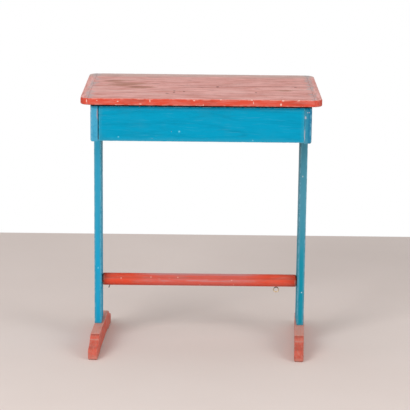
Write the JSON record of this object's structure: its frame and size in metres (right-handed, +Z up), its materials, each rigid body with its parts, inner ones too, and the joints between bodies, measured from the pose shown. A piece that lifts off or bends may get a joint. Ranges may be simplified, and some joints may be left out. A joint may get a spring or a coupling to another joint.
{
  "type": "school desk",
  "caption": "Small painted wooden school desk: shallow box with a hinged overhanging lid, on two flat posts with long moulded feet, tied by a round foot rail.",
  "frame": {"origin": "on the floor under the middle of the lid", "axes": "+Z up, front of the desk towards -Y, +X to the right of a person who looks at the desk's front"},
  "size_m": [0.61, 0.4, 0.6922],
  "materials": {
    "red_paint": "worn faded red paint",
    "blue_paint": "worn blue paint",
    "bare_wood": "bare aged softwood",
    "hinge_steel": "dulled steel",
    "fastener_steel": "dulled steel, painted over where it shows outside",
    "fitting_steel": "rusty steel",
    "rubber": "old grey rubber"
  },
  "bodies": {
    "desk": {"foot_left": "red_paint", "foot_right": "red_paint", "foot_rail": "red_paint", "rail_wedges": "red_paint", "foot_pegs": "red_paint", "front_panel": "blue_paint", "back_panel": "blue_paint", "side_panel_left": "blue_paint", "side_panel_right": "blue_paint", "post_left": "blue_paint", "post_right": "blue_paint", "bottom_board_1": "bare_wood", "bottom_board_2": "bare_wood", "bottom_board_3": "bare_wood", "bottom_board_4": "bare_wood", "bottom_cleat_front": "bare_wood", "bottom_cleat_rear": "bare_wood", "hinge_box_leaf_left": "hinge_steel", "hinge_box_leaf_right": "hinge_steel", "hinge_pin_left": "hinge_steel", "hinge_pin_right": "hinge_steel", "hinge_box_screws": "fastener_steel", "corner_screws": "fastener_steel", "post_screws": "fastener_steel", "cleat_screws": "fastener_steel", "bottom_nails": "fastener_steel", "rail_screw_eye": "fitting_steel", "rail_nail_stub": "fitting_steel", "lid_buffers": "rubber"},
    "lid": {"lid_board_front": "red_paint", "lid_board_rear": "red_paint", "lid_clamp_left": "red_paint", "lid_clamp_right": "red_paint", "hinge_lid_leaf_left": "hinge_steel", "hinge_lid_leaf_right": "hinge_steel", "hinge_lid_screws": "fastener_steel"}
  },
  "joints": [
    {"name": "lid_hinge", "type": "hinge", "parent": "desk", "child": "lid", "pos_m": [0, 0.1881, 0.6711], "axis": [-1, 0, 0], "range_deg": [0, 115]}
  ]
}
